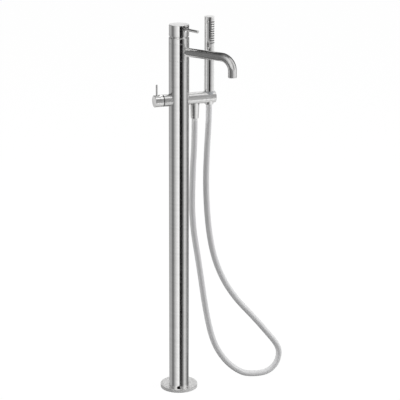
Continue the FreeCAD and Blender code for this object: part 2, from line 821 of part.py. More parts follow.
def spout_tube():
    seat = column_radius - spout_root_depth
    outer = spout_core(spout_diameter / 2, seat, spout_outlet_height)
    inner = spout_core(spout_bore / 2, seat - overshoot, spout_outlet_height - overshoot)
    tube = outer.cut(inner)
    lip = Part.makeCone(spout_diameter / 2 - spout_lip, spout_diameter / 2, spout_lip,
                        Vector(spout_reach, 0, spout_outlet_height), up)
    edge = rod(spout_diameter, Vector(spout_reach, 0, spout_outlet_height), up, spout_lip).cut(lip)
    return swung(tube.cut(edge), spout_angle)


def outlet_axis(height):
    return heading(spout_angle) * spout_reach + up * height


def aerator_housing():
    bottom = spout_outlet_height + aerator_inset
    radius = spout_bore / 2 - fit_gap
    return ring(radius, radius - aerator_wall, outlet_axis(bottom), up, aerator_height)


def aerator_radius():
    return spout_bore / 2 - 2 * fit_gap - aerator_wall


def aerator_insert():
    """A round grid of square cells, as the water leaves it."""
    bottom = spout_outlet_height + aerator_inset
    radius = aerator_radius()
    insert = rod(radius, Vector(0, 0, bottom), up, aerator_height)
    pitch = aerator_cell + aerator_cell_wall
    cells = int(radius // pitch)
    for column in range(-cells, cells + 1):
        for row in range(-cells, cells + 1):
            reach = math.hypot(abs(column) * pitch + aerator_cell / 2,
                               abs(row) * pitch + aerator_cell / 2)
            if reach < radius - aerator_cell_wall:
                corner = Vector(column * pitch - aerator_cell / 2, row * pitch - aerator_cell / 2,
                                bottom)
                insert = insert.cut(Part.makeBox(aerator_cell, aerator_cell,
                                                 aerator_height, corner))
    insert.translate(heading(spout_angle) * spout_reach)
    return insert


def aerator_seal():
    bottom = spout_outlet_height + aerator_inset + aerator_height
    radius = spout_bore / 2 - fit_gap
    return ring(radius, radius - aerator_wall * 2, outlet_axis(bottom), up, aerator_seal_thickness)


# Mixing cartridge

def cartridge_housing():
    radius = cartridge_radius
    roof = nut_bottom - cartridge_roof
    neck = cartridge_neck_radius
    bore = yoke_diameter / 2 + running_gap
    outline = [(housing_bore_radius, housing_bottom), (radius, housing_bottom), (radius, nut_bottom),
               (neck, nut_bottom), (neck, nut_bottom + cartridge_neck_height),
               (bore, nut_bottom + cartridge_neck_height), (bore, roof), (housing_bore_radius, roof)]
    return turned(outline)


def cartridge_base_seal():
    lower = rod(cartridge_radius, up * pocket_floor, up, base_seal_thickness)
    upper = rod(housing_bore_radius - fit_gap, up * housing_bottom, up, base_seal_thickness)
    return disc_ports(lower.fuse(upper), pocket_floor - overshoot)


def disc_ports(piece, start_height):
    """Drills the hot, cold and mixed ports through a piece under the cartridge."""
    ports = [Vector(0, cartridge_port_radius, start_height),
             Vector(0, -cartridge_port_radius, start_height),
             Vector(-link_pipe_offset, 0, start_height)]
    for port in ports:
        piece = piece.cut(rod(cartridge_port_diameter / 2, port, up, 4 * overshoot))
    return piece


def ceramic_fixed_disc():
    return disc_ports(rod(disc_radius, up * disc_floor, up, disc_thickness), disc_floor - overshoot)


def ceramic_moving_disc():
    disc = rod(disc_radius, up * (disc_floor + disc_thickness), up, disc_thickness)
    mixing_pocket = rod(disc_radius / 2, up * (disc_floor + disc_thickness), up, disc_thickness / 2)
    return disc.cut(mixing_pocket)


def cartridge_nut():
    radius = cartridge_nut_radius
    nut = ring(radius, cartridge_neck_radius + fit_gap, up * nut_bottom, up,
               cartridge_nut_height)
    for index in range(4):
        notch_place = heading(45 + 90 * index) * (radius - 2.0)
        nut = nut.cut(rod(1.6, notch_place + up * (nut_top - 3.0), up, overshoot))
    return nut


def cartridge_yoke():
    foot_radius = housing_bore_radius - loose_gap
    top = pivot_height + yoke_top_above_pivot
    outline = [(0, yoke_foot), (foot_radius, yoke_foot), (foot_radius, yoke_foot + yoke_foot_height),
               (yoke_diameter / 2, yoke_foot + yoke_foot_height), (yoke_diameter / 2, top), (0, top)]
    yoke = turned(outline)
    slot_floor = yoke_foot + yoke_slot_floor
    slot = Part.makeBox(yoke_slot_length, yoke_slot_width, top - slot_floor + overshoot,
                        Vector(-yoke_slot_length / 2, -yoke_slot_width / 2, slot_floor))
    yoke = yoke.cut(slot)
    yoke = yoke.cut(rod(yoke_pin_diameter / 2 + fit_gap, Vector(0, -yoke_diameter, pivot_height),
                        Vector(0, 1, 0), 2 * yoke_diameter))
    return swung(yoke, cap_lever_angle)


def yoke_pin():
    half = math.sqrt((yoke_diameter / 2) ** 2 - yoke_pin_diameter ** 2) - loose_gap
    pin = rod(yoke_pin_diameter / 2, Vector(0, -half, pivot_height), Vector(0, 1, 0), 2 * half)
    return swung(pin, cap_lever_angle)


def lever_pin_top():
    return cap_bottom + cap_skirt_depth + lever_pin_in_cap


def cartridge_lever():
    bottom = pivot_height - lever_pin_below_pivot
    bar = Part.makeBox(lever_pin_width, lever_pin_width, lever_pin_top() - fit_gap - bottom,
                       Vector(-lever_pin_width / 2, -lever_pin_width / 2, bottom))
    bar = bar.cut(rod(yoke_pin_diameter / 2 + running_gap, Vector(0, -yoke_diameter, pivot_height),
                      Vector(0, 1, 0), 2 * yoke_diameter))
    return swung(bar, cap_lever_angle)


def cap_lever_point(reach):
    return heading(cap_lever_angle) * reach + up * cap_lever_height


def mixer_cap():
    skirt_radius = column_radius - cap_skirt_wall
    roof = cap_bottom + cap_skirt_depth
    outline = [(0, roof), (skirt_radius, roof), (skirt_radius, cap_bottom),
               (column_radius - cap_chamfer, cap_bottom), (column_radius, cap_bottom + cap_chamfer),
               (column_radius, cap_top - cap_chamfer), (column_radius - cap_chamfer, cap_top),
               (0, cap_top)]
    cap = turned(outline)
    half = lever_pin_width / 2 + fit_gap
    socket = Part.makeBox(2 * half, 2 * half, lever_pin_top() - roof + overshoot,
                          Vector(-half, -half, roof - overshoot))
    cap = cap.cut(swung(socket, cap_lever_angle))
    cone = recess(recess_radius, recess_depth)
    place = FreeCAD.Placement(cap_lever_point(column_radius - recess_depth) + up * recess_lift,
                              FreeCAD.Rotation(up, heading(cap_lever_angle)))
    cap = cap.cut(cone.transformed(place.toMatrix(), copy=True))
    cap = cap.cut(rod(cap_lever_diameter / 2 + fit_gap, cap_lever_point(cap_lever_root),
                      heading(cap_lever_angle), column_radius))
    return cap.cut(rod(cap_screw_diameter / 2 + fit_gap, cap_screw_start(),
                       heading(cap_lever_angle + 180), column_radius))


def cap_screw_start():
    height = cap_bottom + cap_skirt_depth + lever_pin_in_cap / 2
    return heading(cap_lever_angle + 180) * (lever_pin_width / 2 + fit_gap) + up * height


def cap_set_screw():
    return set_screw(cap_screw_diameter, cap_screw_start(), heading(cap_lever_angle + 180),
                     cap_screw_length)


def mixer_lever():
    radius = cap_lever_diameter / 2
    length = cap_lever_reach - cap_lever_root
    outline = [(0, 0), (radius, 0), (radius, length - cap_chamfer),
               (radius - cap_chamfer, length), (0, length)]
    return turned(outline, cap_lever_point(cap_lever_root), heading(cap_lever_angle))


# Handset

def handset_axis(height):
    return Vector(handset_offset, 0, height)


def handset_body():
    tube_top = handset_top - handset_cap_lip
    body = ring(handset_radius, handset_bore_radius, handset_axis(handset_seat), up,
                tube_top - handset_seat)
    for row in range(spray_rows):
        height = spray_top_row - row * spray_pitch
        slot = rounded_slot(spray_slot_width, spray_slot_height, handset_diameter)
        body = body.cut(facing_spray(slot, height))
    return body


def facing_spray(piece, height):
    """Moves a piece made along +X onto the handset axis, facing the way it sprays."""
    turned_piece = swung(piece, spray_angle)
    turned_piece.translate(handset_axis(height))
    return turned_piece


def handset_end_cap():
    plug_radius = handset_bore_radius - fit_gap
    plug_height = handset_cap_height - handset_cap_lip
    outline = [(0, 0), (plug_radius, 0), (plug_radius, plug_height), (handset_radius, plug_height),
               (handset_radius, handset_cap_height - handset_chamfer),
               (handset_radius - handset_chamfer, handset_cap_height), (0, handset_cap_height)]
    return turned(outline, handset_axis(handset_top - handset_cap_height))


def handset_connector():
    thread = nipple_diameter / 2
    plug = handset_bore_radius - fit_gap
    outline = [(connector_bore / 2, -connector_thread_length), (thread, -connector_thread_length),
               (thread, 0), (plug, 0), (plug, connector_plug), (connector_bore / 2, connector_plug)]
    return turned(outline, handset_axis(handset_seat))


def waterway_radius():
    return handset_bore_radius - spray_backing - 2 * fit_gap


def waterway_bottom():
    return handset_seat + connector_plug


def handset_waterway():
    top = handset_top - handset_cap_height
    tube = ring(waterway_radius(), waterway_radius() - waterway_wall, handset_axis(waterway_bottom()),
                up, top - waterway_bottom())
    for row in range(spray_rows):
        height = spray_top_row - row * spray_pitch
        feed = rounded_slot(spray_slot_width - spray_slot_height, nozzle_diameter, handset_diameter)
        tube = tube.cut(facing_spray(feed, height))
    return tube


def spray_nozzles():
    """The soft strip behind the slots, with its nozzles standing in them."""
    middle = spray_top_row - (spray_rows - 1) * spray_pitch / 2
    strip_height = spray_rows * spray_pitch
    outer = handset_bore_radius - fit_gap
    shell = ring(outer, outer - spray_backing, Vector(0, 0, -strip_height / 2), up, strip_height)
    window = Part.makeBox(handset_diameter, spray_slot_width + 2 * spray_backing, strip_height,
                          Vector(0, -spray_slot_width / 2 - spray_backing, -strip_height / 2))
    strip = shell.common(window)
    holes = []
    for row in range(spray_rows):
        height = (row - (spray_rows - 1) / 2) * spray_pitch
        for index in range(nozzles_per_row):
            across = (index - (nozzles_per_row - 1) / 2) * nozzle_spacing
            reach = math.sqrt((handset_radius + nozzle_proud) ** 2 - across ** 2)
            root = math.sqrt((outer - spray_backing / 2) ** 2 - across ** 2)
            strip = strip.fuse(rod(nozzle_diameter / 2, Vector(root, across, height), right,
                                   reach - root))
            holes.append(rod(nozzle_hole / 2, Vector(0, across, height), right, handset_diameter))
    strip = strip.cut(Part.makeCompound(holes))
    return facing_spray(strip, middle)


def as_group(pieces):
    return Part.makeCompound(pieces)


nodes = {
    "floor_flange": floor_flange(),
    "column_spigot": column_spigot(),
    "floor_seal": floor_seal(),
    "base_cover": base_cover(),
    "lock_screw_plug": lock_screw_plug(),
    "column_lock_screw": column_lock_screw(),
    "column_tube": column_tube(),
    "hot_inlet_union": inlet_union(1),
    "cold_inlet_union": inlet_union(-1),
    "hot_riser": riser(1),
    "cold_riser": riser(-1),
    "mixed_pipe": link_pipe(-1),
    "spout_pipe": link_pipe(1),
    "cross_body": cross_body(),
    "valve_stub": valve_stub(),
    "gap_ring": gap_ring(),
    "diverter_cartridge": diverter_cartridge(),
    "diverter_spindle": diverter_spindle(),
    "diverter_knob": diverter_knob(),
    "knob_set_screw": knob_set_screw(),
    "diverter_lever": diverter_lever(),
    "holder_bar": holder_bar(),
    "holder_bush": holder_bush(),
    "outlet_nipple": outlet_nipple(),
    "check_valve": check_valve(),
    "outlet_hose_nut": outlet_hose_nut(),
    "outlet_washer": hose_washer(outlet_offset, outlet_tail_seat + hose_tail_flange),
    "outlet_hose_tail": hose_tail(outlet_offset, outlet_nut_end, outlet_tail_seat),
    "shower_hose": shower_hose(),
    "handset_hose_nut": handset_hose_nut(),
    "handset_washer": hose_washer(handset_offset, handset_tail_seat + hose_tail_flange),
    "handset_hose_tail": hose_tail(handset_offset, handset_nut_end, handset_tail_seat),
    "swivel_neck": swivel_neck(),
    "mixer_body": mixer_body(),
    "cartridge_cover": cartridge_cover(),
    "spout_seals": as_group(spout_seals()),
    "lower_slide_ring": slide_ring(column_top),
    "upper_slide_ring": slide_ring(sleeve_top),
    "spout_sleeve": spout_sleeve(),
    "spout_tube": spout_tube(),
    "spout_limit_screw": spout_limit_screw(),
    "aerator_housing": aerator_housing(),
    "aerator_insert": aerator_insert(),
    "aerator_seal": aerator_seal(),
    "cartridge_housing": cartridge_housing(),
    "cartridge_base_seal": cartridge_base_seal(),
    "ceramic_fixed_disc": ceramic_fixed_disc(),
    "ceramic_moving_disc": ceramic_moving_disc(),
    "cartridge_nut": cartridge_nut(),
    "cartridge_yoke": cartridge_yoke(),
    "yoke_pin": yoke_pin(),
    "cartridge_lever": cartridge_lever(),
    "mixer_cap": mixer_cap(),
    "cap_set_screw": cap_set_screw(),
    "mixer_lever": mixer_lever(),
    "handset_body": handset_body(),
    "handset_end_cap": handset_end_cap(),
    "handset_connector": handset_connector(),
    "handset_waterway": handset_waterway(),
    "spray_nozzles": spray_nozzles(),
}

os.makedirs("parts", exist_ok=True)
for name, piece in nodes.items():
    piece.exportStep("parts/" + name + ".step")
    box = piece.BoundBox
    print(name, "solids", len(piece.Solids), "valid", piece.isValid(),
          "volume", round(piece.Volume, 1),
          "x", round(box.XMin, 1), round(box.XMax, 1),
          "y", round(box.YMin, 1), round(box.YMax, 1),
          "z", round(box.ZMin, 1), round(box.ZMax, 1))
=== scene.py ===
import json
import math
import bmesh
import bpy
from mathutils import Matrix, Vector


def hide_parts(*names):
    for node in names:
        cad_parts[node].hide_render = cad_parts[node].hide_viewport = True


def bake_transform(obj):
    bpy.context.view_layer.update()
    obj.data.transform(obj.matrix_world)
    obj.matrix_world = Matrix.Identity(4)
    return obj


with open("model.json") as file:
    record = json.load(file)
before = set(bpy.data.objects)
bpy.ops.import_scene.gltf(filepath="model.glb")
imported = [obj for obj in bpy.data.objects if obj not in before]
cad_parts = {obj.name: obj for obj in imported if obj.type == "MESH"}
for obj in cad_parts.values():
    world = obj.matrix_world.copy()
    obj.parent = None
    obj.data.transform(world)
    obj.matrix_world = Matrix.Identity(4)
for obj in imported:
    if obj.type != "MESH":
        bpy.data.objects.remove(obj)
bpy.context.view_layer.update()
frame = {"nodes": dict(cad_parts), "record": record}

scene = bpy.context.scene
scene.view_settings.view_transform = "Standard"


# Camera, standing front left of the filler and looking a little down
cameraLook = {
    "place": (-1.3431, -3.4647, 1.6023),
    "heading": 22.0,   # degrees, from +Y towards +X
    "tilt": 16.5,      # degrees below the horizon
    "roll": 0.23,
    "lens": 139.5,
}


def makeCamera(look):
    data = bpy.data.cameras.new("camera")
    data.sensor_width = 36.0
    data.lens = look["lens"]
    camera = bpy.data.objects.new("camera", data)
    scene.collection.objects.link(camera)
    camera.matrix_world = (Matrix.Translation(look["place"])
                           @ Matrix.Rotation(math.radians(-look["heading"]), 4, "Z")
                           @ Matrix.Rotation(math.radians(90 - look["tilt"]), 4, "X")
                           @ Matrix.Rotation(math.radians(look["roll"]), 4, "Z"))
    scene.camera = camera


makeCamera(cameraLook)
print("camera placed")


# Node helpers. A source is a plain value or the socket of another node.
def plug(tree, source, socket):
    if isinstance(source, bpy.types.NodeSocket):
        tree.links.new(source, socket)
    else:
        socket.default_value = source


def addNode(tree, kind, **settings):
    made = tree.nodes.new("ShaderNode" + kind)
    for name, value in settings.items():
        setattr(made, name, value)
    return made


def feed(tree, node, **sources):
    # an underscore stands for the space in a socket's name
    for name, source in sources.items():
        plug(tree, source, node.inputs[name.replace("_", " ")])
    return node


def calculate(tree, operation, first, second=0.0, third=0.0):
    made = addNode(tree, "Math", operation=operation)
    for socket, source in zip(made.inputs, (first, second, third)):
        plug(tree, source, socket)
    return made.outputs[0]


def vectorMath(tree, operation, first, second):
    made = addNode(tree, "VectorMath", operation=operation)
    for socket, source in zip(made.inputs, (first, second)):
        plug(tree, source, socket)
    return made.outputs


def along(tree, vector, direction):
    # how far a vector reaches in one direction
    return vectorMath(tree, "DOT_PRODUCT", vector, direction)["Value"]


def splitVector(tree, vector):
    return feed(tree, addNode(tree, "SeparateXYZ"), Vector=vector).outputs


def spread(tree, value, low, high, toLow=0.0, toHigh=1.0):
    # a soft step between two values
    made = addNode(tree, "MapRange", interpolation_type="SMOOTHSTEP")
    return feed(tree, made, Value=value, From_Min=low, From_Max=high,
                To_Min=toLow, To_Max=toHigh).outputs["Result"]


def noise(tree, vector, **settings):
    return feed(tree, addNode(tree, "TexNoise"), Vector=vector, **settings).outputs["Fac"]


def mixColour(tree, factor, first, second):
    made = addNode(tree, "Mix", data_type="RGBA")
    for socket, source in ((made.inputs[0], factor), (made.inputs[6], first), (made.inputs[7], second)):
        plug(tree, source, socket)
    return made.outputs[2]


def stain(tree, colour, mask, share, tone):
    # lays a share of another tone over a colour where the mask is bright
    return mixColour(tree, calculate(tree, "MULTIPLY", mask, share), colour, tone)


def raiseBy(tree, base, *amounts):
    # adds each mask, times its amount, to a base value
    for mask, amount in amounts:
        base = calculate(tree, "MULTIPLY_ADD", mask, amount, base)
    return base


def mixShaders(tree, share, first, second):
    made = addNode(tree, "MixShader")
    for socket, source in zip(made.inputs, (share, first.outputs[0], second.outputs[0])):
        plug(tree, source, socket)
    return made


def grey(level):
    return (level, level, level, 1.0)


def ramp(tree, value, stops):
    made = feed(tree, addNode(tree, "ValToRGB"), Fac=value)
    elements = made.color_ramp.elements
    while len(elements) < len(stops):
        elements.new(0.5)
    for element, (place, level) in zip(elements, stops):
        element.position = place
        element.color = grey(level)
    return made.outputs["Color"]


def newGroup(name, inputs, outputs):
    group = bpy.data.node_groups.new(name, "ShaderNodeTree")
    for label, kind, value in inputs:
        socket = group.interface.new_socket(label, in_out="INPUT", socket_type="NodeSocket" + kind)
        if value is not None:
            socket.default_value = value
    for label, kind in outputs:
        group.interface.new_socket(label, in_out="OUTPUT", socket_type="NodeSocket" + kind)
    return group, group.nodes.new("NodeGroupInput").outputs, group.nodes.new("NodeGroupOutput").inputs


def useGroup(tree, group, **sources):
    return feed(tree, addNode(tree, "Group", node_tree=group), **sources).outputs


def newMaterial(name):
    material = bpy.data.materials.new(name)
    material.use_nodes = True
    material.node_tree.nodes.clear()
    return material, material.node_tree


def addMesh(name, corners, faces):
    mesh = bpy.data.meshes.new(name)
    mesh.from_pydata(corners, [], faces)
    made = bpy.data.objects.new(name, mesh)
    scene.collection.objects.link(made)
    return made


# Studio: plain white all round for the camera; the metal mirrors these levels and the cards below.
# Angles are degrees to the right of the camera, seen from the filler, and levels are brightness.
# The edges are rises at which one light gives way to the next, from -1 straight down to 1 straight up.
studio = {
    "lowLevels": [(-180, 0.08), (-142, 0.08), (-110, 0.1), (-86, 0.2), (-66, 0.28), (-46, 0.6),
                  (-20, 0.95), (135, 0.93), (160, 0.15), (180, 0.08)],
    "lowEdge": (-0.5, -0.42),
    "aroundLevel": 0.01,
    "highEdge": (-0.04, 0.06),
    "highLevels": [(-180, 0.1), (-142, 0.08), (-110, 0.08), (-86, 0.16), (-66, 0.28), (-46, 0.6),
                   (-20, 1.0), (20, 1.0), (34, 0.5), (56, 0.45), (70, 1.0), (100, 0.9), (118, 0.4),
                   (135, 0.15), (180, 0.1)],
    "topEdge": (0.88, 0.97),
    "topLevel": 0.25,
    "fillEdge": (-0.8, 0.8),
    "fillLevels": (0.27, 0.84),   # light on rough pieces, from below and from above
}
brightest = 1.5   # a ramp holds up to 1, so it keeps each level as a share of this
cameraTurn = math.radians(cameraLook["heading"])
toCamera = (-math.sin(cameraTurn), -math.cos(cameraTurn), 0)
toRight = (math.cos(cameraTurn), -math.sin(cameraTurn), 0)


def placeAround(degrees, reach, height):
    turn = math.radians(degrees - cameraLook["heading"])
    return (math.sin(turn) * reach, -math.cos(turn) * reach, height)


def aroundTone(tree, vector, levels):
    # the levels by the angle that a vector points at
    angle = calculate(tree, "ARCTAN2", along(tree, vector, toRight), along(tree, vector, toCamera))
    share = calculate(tree, "MULTIPLY_ADD", angle, 0.5 / math.pi, 0.5)   # a whole turn runs from 0 to 1
    return ramp(tree, share, [(degrees / 360 + 0.5, level / brightest) for degrees, level in levels])


def makeWorld(look):
    world = bpy.data.worlds.new("studio")
    scene.world = world
    world.use_nodes = True
    world.cycles.sampling_method = "NONE"
    tree = world.node_tree
    tree.nodes.clear()

    def background(colour, strength):
        return feed(tree, addNode(tree, "Background"), Color=colour, Strength=strength)

    direction = addNode(tree, "TexCoord").outputs["Generated"]
    rise = along(tree, direction, (0, 0, 1))
    room = mixColour(tree, spread(tree, rise, *look["lowEdge"]),
                     aroundTone(tree, direction, look["lowLevels"]), grey(look["aroundLevel"] / brightest))
    room = mixColour(tree, spread(tree, rise, *look["highEdge"]), room,
                     aroundTone(tree, direction, look["highLevels"]))
    room = mixColour(tree, spread(tree, rise, *look["topEdge"]), room, grey(look["topLevel"] / brightest))
    fill = spread(tree, rise, *look["fillEdge"], *look["fillLevels"])
    path = addNode(tree, "LightPath").outputs
    sharp = calculate(tree, "MAXIMUM", path["Is Glossy Ray"], path["Is Transmission Ray"])
    lit = mixShaders(tree, sharp, background(grey(1.0), fill), background(room, brightest))
    shown = mixShaders(tree, path["Is Camera Ray"], lit, background(grey(1.0), 1.0))
    tree.links.new(shown.outputs[0], addNode(tree, "OutputWorld").inputs["Surface"])


# Cards that only some pieces mirror: an arc with the levels along it, standing round the column or
# another centre. No two share a reach, since of two cards in one place only one would show.
columnPieces = ["column_tube", "mixer_body", "cartridge_cover", "spout_sleeve", "mixer_cap",
                "upper_slide_ring", "lower_slide_ring"]
barPieces = ["holder_bar", "valve_stub", "diverter_knob", "holder_bush", "gap_ring"]
nutPieces = ["outlet_hose_nut", "handset_hose_nut", "outlet_nipple", "handset_connector",
             "mixer_lever", "diverter_lever"]
handsetPieces = ["handset_body", "handset_end_cap"]
cardStrips = 48   # flat strips in each arc
cards = {
    "columnCard": {
        "reach": 1.0, "low": -0.5, "high": 1.1, "seenBy": columnPieces,
        "levels": [(-180, 0.45), (-140, 0.51), (-114, 0.57), (-97, 0.55), (-83, 0.24), (-64, 0.24),
                   (-52, 0.53), (-40, 0.74), (-28, 0.97), (-16, 1.17), (-8, 1.25), (3.5, 1.4), (9, 0.0),
                   (32, 0.0), (43, 0.11), (55, 0.45), (67, 0.9), (80, 0.88), (99, 0.47), (116, 0.19),
                   (150, 0.25), (180, 0.45)],
    },
    "barCard": {
        "reach": 1.02, "low": 0.02, "high": 0.8, "seenBy": barPieces,
        "levels": [(-180, 0.0), (-150, 0.3), (-139, 0.85), (-110, 0.75), (-83, 0.4), (-40, 0.3),
                   (-8, 0.05), (9.5, 0.25), (32, 0.48), (43, 0.54), (55, 0.62), (67, 0.9), (99, 0.95),
                   (135, 0.75), (165, 0.0), (180, 0.0)],
    },
    "nutCard": {
        "reach": 1.04, "low": -0.5, "high": 1.1, "seenBy": nutPieces,
        "levels": [(-180, 0.0), (-150, 0.5), (-139, 0.9), (-100, 0.8), (-78, 0.5), (-48, 0.3),
                   (-34, 0.16), (-27, 0.0), (-15, 0.0), (-5, 0.28), (5, 0.4), (31, 0.9), (59, 1.2),
                   (92, 1.1), (140, 0.8), (165, 0.0), (180, 0.0)],
    },
    "handsetCard": {
        "reach": 1.06, "low": -0.5, "high": 2.0, "seenBy": handsetPieces,
        "levels": [(-180, 0.1), (-150, 0.6), (-130, 0.95), (-110, 0.7), (-100, 0.4), (-89, 0.35),
                   (-45, 0.6), (-34, 0.54), (-20, 0.4), (-9, 0.42), (1, 0.3), (5, 0.0), (25, 0.0),
                   (32, 0.22), (38, 0.42), (65, 0.8), (96, 1.05), (143, 1.1), (165, 0.1), (180, 0.1)],
    },
    "spoutCard": {
        "reach": 1.08, "low": 0.32, "high": 0.86, "seenBy": ["spout_tube", "aerator_housing"],
        "levels": [(-180, 0.0), (-160, 0.1), (-140, 0.45), (-114, 0.6), (-95, 0.7), (-82, 0.62),
                   (-73, 0.3), (-60, 0.17), (-49, 0.17), (-20, 0.24), (8, 0.32), (25, 0.55), (37, 0.88),
                   (68, 0.95), (107, 1.0), (120, 0.8), (132, 0.2), (150, 0.0), (180, 0.0)],
    },
    "backCard": {
        "reach": 1.1, "low": -2.0, "high": 5.0,
        "seenBy": barPieces + nutPieces + handsetPieces + ["mixer_cap", "base_cover"],
        "levels": [(-180, 0.8), (-160, 0.7), (-146, 0.0), (142, 0.0), (162, 0.75), (180, 0.8)],
    },
    "topCard": {
        "reach": 1.12, "low": 2.1, "high": 9.0,
        "seenBy": barPieces + nutPieces + handsetPieces + columnPieces + ["base_cover"],
        "levels": [(-180, 0.45), (180, 0.45)],
    },
    "knobTopCard": {
        "reach": 1.14, "low": 1.9, "high": 6.0, "seenBy": ["diverter_knob", "valve_stub"],
        "levels": [(-180, 0.75), (180, 0.75)],
    },
    "baseCard": {
        "reach": 1.16, "low": -1.0, "high": 0.3, "seenBy": ["base_cover", "floor_flange"],
        "levels": [(-180, 0.6), (-100, 0.5), (-50, 0.3), (-15, 0.16), (20, 0.2), (60, 0.4),
                   (110, 0.6), (180, 0.6)],
    },
    "barBackCard": {
        "reach": 1.18, "low": 0.9, "high": 5.0, "seenBy": barPieces,
        "levels": [(-180, 0.1), (-150, 0.1), (-135, 0.0), (105, 0.0), (130, 0.3), (150, 0.2), (180, 0.1)],
    },
    "handsetSideCard": {
        "centre": (0.0795, 0.0, 0.0), "reach": 0.045, "low": 0.7, "high": 0.96,
        "seenBy": handsetPieces + ["handset_hose_nut"],
        "levels": [(-84, 0.0), (-72, 0.45), (-60, 0.8), (-50, 0.5), (-42, 0.0)],
    },
    "outletSideCard": {
        "centre": (0.0415, 0.0, 0.0), "reach": 0.0155, "low": 0.66, "high": 0.744,
        "seenBy": ["outlet_hose_nut"],
        "levels": [(-100, 0.0), (-90, 0.3), (-80, 0.65), (-60, 0.4), (-45, 0.1), (-30, 0.0)],
    },
}


def makeCard(name, look):
    # an arc of a cylinder that adds its light to what the listed pieces mirror, and hides nothing
    first, last = look["levels"][0][0], look["levels"][-1][0]
    corners = []
    for strip in range(cardStrips + 1):
        degrees = first + (last - first) * strip / cardStrips
        corners += [placeAround(degrees, look["reach"], look[level]) for level in ("low", "high")]
    faces = [(corner, corner + 2, corner + 3, corner + 1) for corner in range(0, 2 * cardStrips, 2)]
    card = addMesh(name, corners, faces)
    card.location = look.get("centre", (0.0, 0.0, 0.0))
    material, tree = newMaterial(name)
    tone = aroundTone(tree, addNode(tree, "TexCoord").outputs["Object"], look["levels"])
    glow = feed(tree, addNode(tree, "Emission"), Color=tone, Strength=brightest)
    both = addNode(tree, "AddShader")
    tree.links.new(glow.outputs[0], both.inputs[0])
    tree.links.new(addNode(tree, "BsdfTransparent").outputs[0], both.inputs[1])
    tree.links.new(both.outputs[0], addNode(tree, "OutputMaterial").inputs["Surface"])
    material.cycles.emission_sampling = "NONE"
    card.data.materials.append(material)
    card.visible_camera = False
    card.visible_diffuse = False
    card.visible_shadow = False
    card.visible_transmission = False
    receivers = bpy.data.collections.new(name + "Pieces")
    for node in look["seenBy"]:
        receivers.objects.link(frame["nodes"][node])
    card.light_linking.receiver_collection = receivers


# Lamps, one to each side
lamps = {
    "right": {"angle": 92, "energy": 112.0},
    "left": {"angle": -92, "energy": 105.0},
    "distance": 3.2,
    "height": 1.8,
    "size": (1.4, 2.2),
    "target": (0.0, 0.0, 0.5),
}


def makeLamp(name, side):
    data = bpy.data.lights.new(name, "AREA")
    data.shape = "RECTANGLE"
    data.size, data.size_y = lamps["size"]
    data.energy = side["energy"]
    made = bpy.data.objects.new(name, data)
    scene.collection.objects.link(made)
    made.location = placeAround(side["angle"], lamps["distance"], lamps["height"])
    made.rotation_euler = (Vector(lamps["target"]) - made.location).to_track_quat("-Z", "Y").to_euler()
    made.visible_glossy = False   # the metal mirrors the cards, not the lamps
    return made


# Floor: mostly plain white to the camera; the small share that is left shows the lamps' shadows
floorLook = {"reach": 30.0, "tone": 0.9, "whiteShare": 0.965}


def makeFloor(look):
    reach = look["reach"]
    floor = addMesh("floor", [(-reach, -reach, 0), (reach, -reach, 0), (reach, reach, 0),
                              (-reach, reach, 0)], [(0, 1, 2, 3)])
    material, tree = newMaterial("paleFloor")
    matt = feed(tree, addNode(tree, "BsdfDiffuse"), Color=grey(look["tone"]))
    glow = feed(tree, addNode(tree, "Emission"), Color=grey(1.0), Strength=1.0)
    share = calculate(tree, "MULTIPLY", addNode(tree, "LightPath").outputs["Is Camera Ray"],
                      look["whiteShare"])
    shown = mixShaders(tree, share, matt, glow)
    tree.links.new(shown.outputs[0], addNode(tree, "OutputMaterial").inputs["Surface"])
    floor.data.materials.append(material)
    floor.visible_glossy = False
    floor.visible_diffuse = False


makeWorld(studio)
for cardName, cardLook in cards.items():
    makeCard(cardName, cardLook)
makeLamp("rightLamp", lamps["right"])
leftLamp = makeLamp("leftLamp", lamps["left"])
makeFloor(floorLook)
print("studio built")


# Effects that several finishes share
def turnedLinesGroup():
    # fine lines left by turning or brushing, at right angles to the way "Along" runs
    group, inputs, outputs = newGroup(
        "turnedLines",
        [("Along", "Float", 0.0), ("Position", "Vector", None), ("Lines per metre", "Float", 2500.0),
         ("Wander", "Float", 6.0)],
        [("Height", "Float"), ("Tone", "Float")])
    broadShare = 0.07   # broad streaks for each fine line
    drift = feed(group, addNode(group, "VectorMath", operation="SCALE"), Vector=inputs["Position"],
                 Scale=inputs["Wander"]).outputs["Vector"]

    def streaks(count, **settings):
        lane = feed(group, addNode(group, "CombineXYZ"), X=count).outputs["Vector"]
        return noise(group, vectorMath(group, "ADD", lane, drift)["Vector"], Scale=1.0, **settings)

    count = calculate(group, "MULTIPLY", inputs["Along"], inputs["Lines per metre"])
    fine = streaks(count, Detail=3.0, Roughness=0.6)
    broad = streaks(calculate(group, "MULTIPLY", count, broadShare), Detail=2.0, Roughness=0.5)
    group.links.new(fine, outputs["Height"])
    group.links.new(spread(group, broad, low=0.3, high=0.7), outputs["Tone"])
    return group


def softEdgeGroup():
    # rounds sharp edges to the eye, and marks them brighter in patches: partly wear from hands and cloths,
    # partly a painted edge highlight
    group, inputs, outputs = newGroup(
        "softEdge", [("Radius", "Float", 0.0004), ("Position", "Vector", None)],
        [("Normal", "Vector"), ("RubbedAndHighlit", "Float")])
    rounded = feed(group, addNode(group, "Bevel", samples=4), Radius=inputs["Radius"]).outputs["Normal"]
    match = along(group, rounded, addNode(group, "NewGeometry").outputs["Normal"])
    edge = spread(group, match, low=0.995, high=0.9)
    patches = spread(group, noise(group, inputs["Position"], Scale=90.0, Detail=3.0), low=0.3, high=0.6)
    group.links.new(rounded, outputs["Normal"])
    group.links.new(calculate(group, "MULTIPLY", edge, patches), outputs["RubbedAndHighlit"])
    return group


